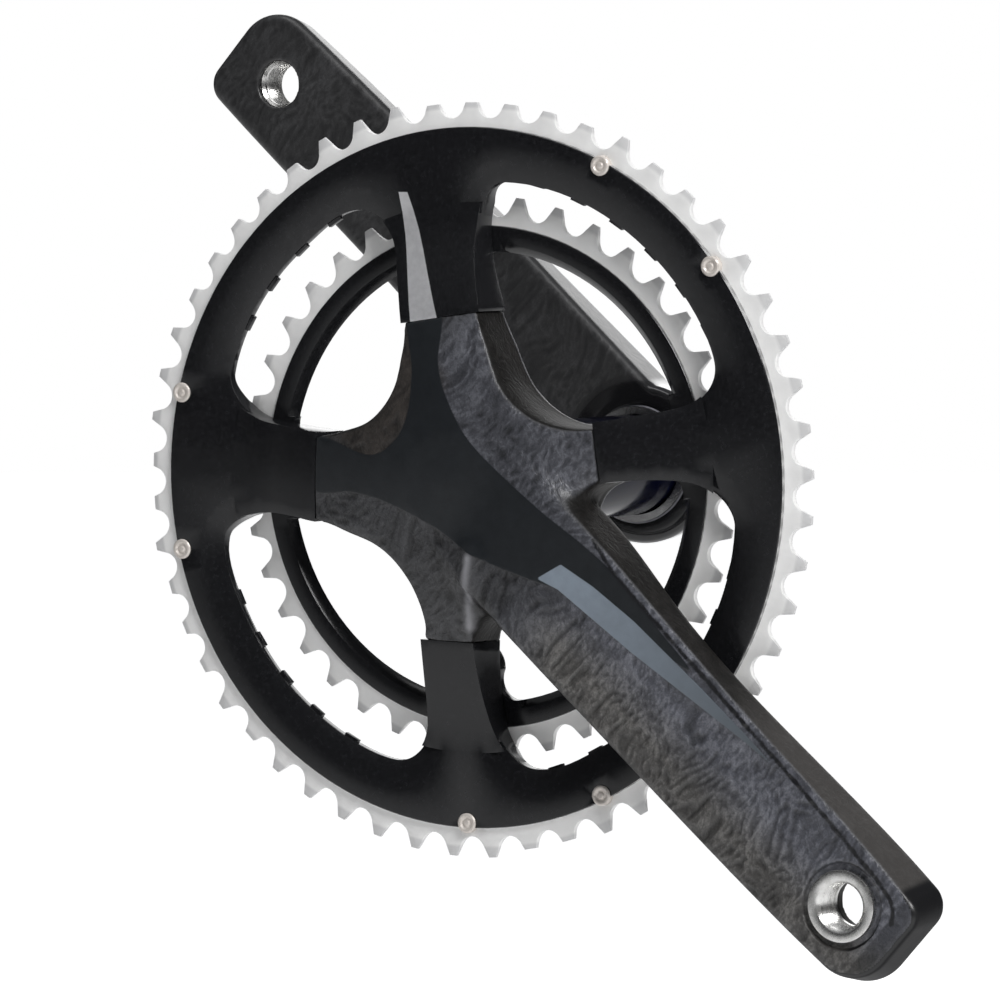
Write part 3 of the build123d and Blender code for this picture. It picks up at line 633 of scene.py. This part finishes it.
def left_arm():
    """Sculpts the left arm, with a round hollow where it meets its hub."""
    obj = remeshed("left_arm_shell", "left_crank_arm")
    mesh = obj.data
    co = relaxed(mesh, points_of(mesh))
    radius = np.hypot(*crank_frame(co, 180))
    co = filled(mesh, co, fade(radius, 60, 48), 80)
    set_points(mesh, co)
    normal = normals_of(mesh)
    u, v = crank_frame(co, 180)
    radius = np.hypot(u, v)
    cloth = fade(np.abs(normal[:, 1]), 0.5, 0.9) * fade(radius, 27, 33)
    crest = crumple(u, v, cloth)
    set_points(mesh, co + (LEFT_WRINKLE * cloth * (crest - 1))[:, None] * normal)
    store(mesh, "crest", crest)
    store(mesh, "black_mm", radius - LEFT_HUB_R)
    return obj


# ---- pedal bushes with a real thread -------------------------------------------------------------
THREAD_PITCH = 1.27
THREAD_BORE_R = 6.5
THREAD_DEPTH = 0.62
THREAD_START = 1.2                 # from the flange's face
THREAD_SHAPE = ((0.0, 0), (0.42, 1), (0.52, 1), (0.94, 0))   # parts of a turn, and of the groove's depth
LATHE_SIDES = 128


def threaded_bush(name, node, x, z, out):
    """The CAD bush as a lathe mesh whose bore carries the grooves of the pedal's thread."""
    low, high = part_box(node)
    face_y = (high.y if out > 0 else low.y) / MM
    back_y = (low.y if out > 0 else high.y) / MM
    long = abs(face_y - back_y)
    # radius and depth from the flange's face, round the section
    profile = [(8.9, long), (8.9, 2.3), (10.0, 2.3), (10.2, 2.1), (10.2, 0.45), (10.05, 0.12), (9.8, 0.0),
               (7.75, 0.0), (7.35, 0.18), (THREAD_BORE_R, 1.05)]
    turns = int((long - 2.2) / THREAD_PITCH)
    for k in range(turns):
        start = THREAD_START + k * THREAD_PITCH
        for part, share in THREAD_SHAPE:
            profile.append((THREAD_BORE_R + share * THREAD_DEPTH, start + part * THREAD_PITCH))
    profile += [(THREAD_BORE_R, long - 0.9), (7.3, long)]
    bm = bmesh.new()
    loops = []
    for k in range(LATHE_SIDES):
        a = 2 * math.pi * k / LATHE_SIDES
        loop = []
        for r, d in profile:
            place = Vector((x + r * math.cos(a), face_y - out * d, z + r * math.sin(a)))
            loop.append(bm.verts.new(place * MM))
        loops.append(loop)
    for k in range(LATHE_SIDES):
        near, far = loops[k], loops[(k + 1) % LATHE_SIDES]
        for i in range(len(profile)):
            j = (i + 1) % len(profile)
            bm.faces.new((near[i], near[j], far[j], far[i]))
    bmesh.ops.recalc_face_normals(bm, faces=bm.faces)
    mesh = bpy.data.meshes.new(name)
    bm.to_mesh(mesh)
    bm.free()
    mesh.shade_smooth()
    mesh.set_sharp_from_angle(angle=math.radians(28))
    return new_object(name, mesh)


def softened(node, width_mm):
    """Small rounded edges on a CAD node, as modifiers."""
    obj = NODES[node]
    weld = obj.modifiers.new("weld", "WELD")
    weld.merge_threshold = 2e-6
    bevel = obj.modifiers.new("edge", "BEVEL")
    bevel.width = width_mm * MM
    bevel.segments = 2
    bevel.limit_method = "ANGLE"
    bevel.angle_limit = math.radians(32)
    bevel.use_clamp_overlap = True
    bevel.harden_normals = False


# ---- assembly of looks ---------------------------------------------------------------------------
def assign(node, material):
    """Puts one material on a CAD node."""
    obj = NODES[node]
    if not obj.material_slots:
        obj.data.materials.append(material)
    for place in obj.material_slots:
        place.link = "OBJECT"
        place.material = material


for shell, body, material, node in ((drive_arm(), "drive_side", drive_carbon(), "drive_crank_arm"),
                                    (left_arm(), "left_side", left_carbon(), "left_crank_arm")):
    finish_piece(shell, body, material, node)
    shell.data.shade_smooth()

PEDAL_X = CRANK_LENGTH * math.cos(CRANK)
PEDAL_Z = CRANK_LENGTH * math.sin(CRANK)
for side, sign, out in (("drive", 1, -1), ("left", -1, 1)):
    name, node = f"{side}_pedal_bush", f"{side}_pedal_insert"
    x, z = sign * PEDAL_X, sign * PEDAL_Z
    alloy = machined(name + "_metal", (0.86, 0.855, 0.84), (0.62, 0.615, 0.60), 0.24, x, z)
    finish_piece(threaded_bush(name, node, x, z, out), f"{side}_side", alloy, node)

# a wedge of plain silver foil on the outer ring's top arm: its outline on X and Z, and its reach along Y
WEDGE = [(-14.7, 44.5), (-5.9, 46.0), (-20.2, 81.9), (-23.1, 81.9)]
WEDGE_Y = (-62, -50.7)
assign("outer_chainring", ring_finish("outer_ring_black_and_bare", 100.6, 106.2, [(WEDGE, WEDGE_Y)]))
assign("inner_chainring", ring_finish("inner_ring_black_and_bare", 72.4, 78.6))

# node, name of its material, lighter and darker colour, roughness
TURNED = (("chain_guard_pin", "guard_pin_steel", (0.5, 0.5, 0.5), (0.3, 0.3, 0.3), 0.3),
          ("tab_bushes", "bush_alloy", (0.7, 0.7, 0.69), (0.5, 0.5, 0.49), 0.3),
          ("spindle_socket", "socket_alloy", (0.12, 0.12, 0.13), (0.07, 0.07, 0.08), 0.28),
          ("wave_washer", "washer_steel", (0.6, 0.6, 0.6), (0.4, 0.4, 0.4), 0.22),
          ("left_spline_insert", "collar_alloy", (0.12, 0.12, 0.13), (0.07, 0.07, 0.08), 0.2),
          ("crank_bolt", "bolt_steel", (0.16, 0.16, 0.165), (0.09, 0.09, 0.095), 0.28),
          ("bolt_washer", "bolt_washer_steel", (0.5, 0.5, 0.5), (0.35, 0.35, 0.35), 0.3))
for node, *look in TURNED:
    assign(node, machined(*look))
assign("shift_pins", machined("pin_steel", (0.86, 0.80, 0.75), (0.66, 0.61, 0.56), 0.3, metallic=0.3))

for k in range(1, 5):
    assign(f"ring_bolt_{k}", coated(f"ring_bolt_black_{k}", (0.02, 0.02, 0.02), (0.05, 0.05, 0.05), 0.3, 600))
assign("spindle", coated("spindle_blue_black", (0.001, 0.001, 0.006), (0.002, 0.003, 0.012), 0.10, 300,
                         relief=0.01, ior=1.22))
assign("spindle_plug", coated("plug_plastic", (0.02, 0.02, 0.02), (0.035, 0.035, 0.035), 0.5))
assign("bearing_seal", coated("seal_rubber_black", (0.012, 0.012, 0.012), (0.022, 0.022, 0.022), 0.6, 700))
assign("extractor_cap", coated("cap_black", (0.012, 0.012, 0.013), (0.02, 0.02, 0.022), 0.3, 450, 0.3))

RING_EDGE = 0.22                   # mm
SMALL_EDGE = 0.12
for node in ("outer_chainring", "inner_chainring"):
    softened(node, RING_EDGE)
for node in ("shift_pins", "spindle", "spindle_socket", "left_spline_insert", "bearing_seal", "crank_bolt",
             "extractor_cap", "chain_guard_pin", "ring_bolt_1", "ring_bolt_2", "ring_bolt_3", "ring_bolt_4"):
    softened(node, SMALL_EDGE)
for node in NODES.values():
    node.data.shade_smooth()
    node.data.set_sharp_from_angle(angle=math.radians(30))


# ---- studio --------------------------------------------------------------------------------------
# the camera's place round the object, what it looks at and its lens
AZIMUTH = math.radians(29.172)
ELEVATION = math.radians(2.903)
DISTANCE = 1.9626                  # m
AIM_RIGHT = 9.02                   # mm from the ring's centre, in the camera's own directions
AIM_DOWN = 6.22
RING_Y = -50.8
LENS = 246.54
SENSOR_WIDTH = 36
BACK = Vector((math.sin(AZIMUTH) * math.cos(ELEVATION), -math.cos(AZIMUTH) * math.cos(ELEVATION),
               math.sin(ELEVATION)))
RIGHT = Vector((math.cos(AZIMUTH), math.sin(AZIMUTH), 0))
UP = BACK.cross(RIGHT)


def add_camera():
    data = bpy.data.cameras.new("camera")
    data.lens = LENS
    data.sensor_width = SENSOR_WIDTH
    data.clip_start, data.clip_end = 0.05, 60
    camera = bpy.data.objects.new("camera", data)
    SCENE.collection.objects.link(camera)
    target = (Vector((0, RING_Y, 0)) + RIGHT * AIM_RIGHT - UP * AIM_DOWN) * MM
    camera.matrix_world = (Matrix.Translation(target + BACK * DISTANCE)
                           @ Matrix((RIGHT, UP, BACK)).transposed().to_4x4())
    return camera


def softbox(name, across, above, towards, width, height, power):
    """Area light at a place given along the camera's right, up and back directions, aimed at the object."""
    light = bpy.data.lights.new(name, "AREA")
    light.shape = "RECTANGLE"
    light.size, light.size_y = width, height
    light.energy = power
    obj = bpy.data.objects.new(name, light)
    SCENE.collection.objects.link(obj)
    obj.location = RIGHT * across + UP * above + BACK * towards
    obj.rotation_euler = (-obj.location).to_track_quat("-Z", "Y").to_euler()


def surroundings():
    """White where the camera sees it, and a dim sky, brighter overhead, that lights the object."""
    world = bpy.data.worlds.new("studio")
    world.use_nodes = True
    tree = world.node_tree
    tree.nodes.clear()
    out = tree.nodes.new("ShaderNodeOutputWorld")
    seen = tree.nodes.new("ShaderNodeBackground")
    seen.inputs[0].default_value = (1, 1, 1, 1)
    seen.inputs[1].default_value = 1.0
    lit = tree.nodes.new("ShaderNodeBackground")
    place = tree.nodes.new("ShaderNodeTexCoord")
    parts = tree.nodes.new("ShaderNodeSeparateXYZ")
    tree.links.new(place.outputs["Generated"], parts.inputs[0])
    sky = tree.nodes.new("ShaderNodeValToRGB")
    low, high = sky.color_ramp.elements
    low.position = 0.25
    low.color = (0.05, 0.05, 0.052, 1)
    high.position = 1.0
    high.color = (0.55, 0.56, 0.58, 1)
    tree.links.new(parts.outputs[2], sky.inputs[0])
    tree.links.new(sky.outputs[0], lit.inputs[0])
    lit.inputs[1].default_value = 0.5
    path = tree.nodes.new("ShaderNodeLightPath")
    either = tree.nodes.new("ShaderNodeMixShader")
    tree.links.new(path.outputs["Is Camera Ray"], either.inputs[0])
    tree.links.new(lit.outputs[0], either.inputs[1])
    tree.links.new(seen.outputs[0], either.inputs[2])
    tree.links.new(either.outputs[0], out.inputs[0])
    return world


def pale_floor():
    """A round sheet of white paper well below the object."""
    bm = bmesh.new()
    bmesh.ops.create_circle(bm, cap_ends=True, segments=96, radius=9.0)
    mesh = bpy.data.meshes.new("floor")
    bm.to_mesh(mesh)
    bm.free()
    sheet = new_object("floor", mesh)
    sheet.location = (0, 0, -0.42)
    paper = Net("white_floor", Roughness=0.9)
    fibres = paper.range(paper.noise(paper.coords(), 3, 3), 0.3, 0.7)
    paper.set("Base Color", paper.mix(fibres, (0.90, 0.90, 0.90), (0.93, 0.93, 0.93)))
    paper.set("Emission Color", (1.0, 1.0, 1.0))
    sight = paper.tree.nodes.new("ShaderNodeLightPath").outputs["Is Camera Ray"]
    paper.set("Emission Strength", paper.range(sight, 0.0, 1.0, 0.10, 0.86))
    sheet.data.materials.append(paper.material)
    return sheet


SCENE.camera = add_camera()
SCENE.view_settings.view_transform = "Standard"
SCENE.world = surroundings()
pale_floor()
softbox("key", 0.9, 1.5, 1.9, 1.0, 1.0, 47)
softbox("top", -0.3, 2.2, 0.3, 1.6, 0.8, 7)
softbox("right_edge", 1.9, 0.1, 0.75, 0.5, 1.3, 5)
softbox("left_edge", -2.0, 0.2, -0.4, 0.3, 1.4, 0.4)
softbox("back_fill", 0.4, 0.8, -2.0, 1.6, 1.2, 12)

bpy.context.view_layer.update()
